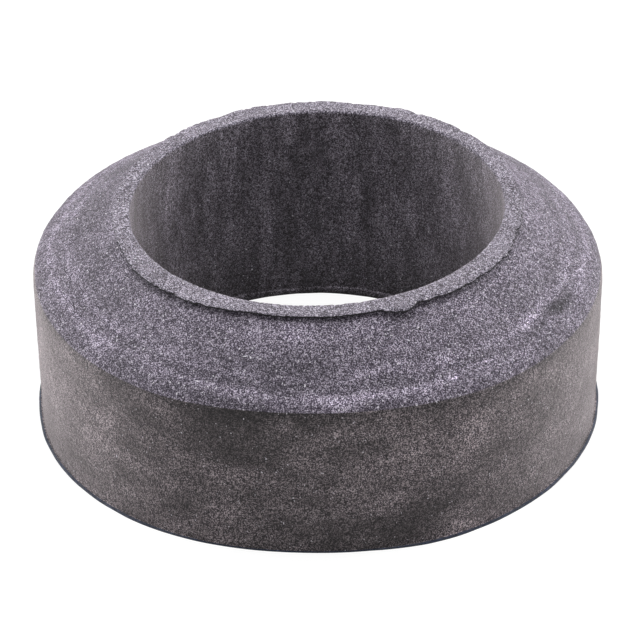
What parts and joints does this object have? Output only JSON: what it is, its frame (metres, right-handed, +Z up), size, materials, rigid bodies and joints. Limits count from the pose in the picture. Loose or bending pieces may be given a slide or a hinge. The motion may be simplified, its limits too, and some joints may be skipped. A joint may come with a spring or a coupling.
{
  "type": "tank to bowl gasket",
  "caption": "Moulded sponge rubber ring with a flat tank face, upright wall, coned seat and straight bore, for sealing a toilet tank to its bowl",
  "frame": {"origin": "the middle of the flat tank face, which the ring stands on in the picture", "axes": "+Z runs up the bore from the tank face to the coned end; -Y is the side that faces the camera in the picture, and +X is its right"},
  "size_m": [0.0898, 0.0892, 0.0353],
  "materials": {
    "sponge_rubber": "matt, dusty, fine cellular skin"
  },
  "bodies": {
    "root": {"gasket": "sponge_rubber"}
  },
  "joints": []
}
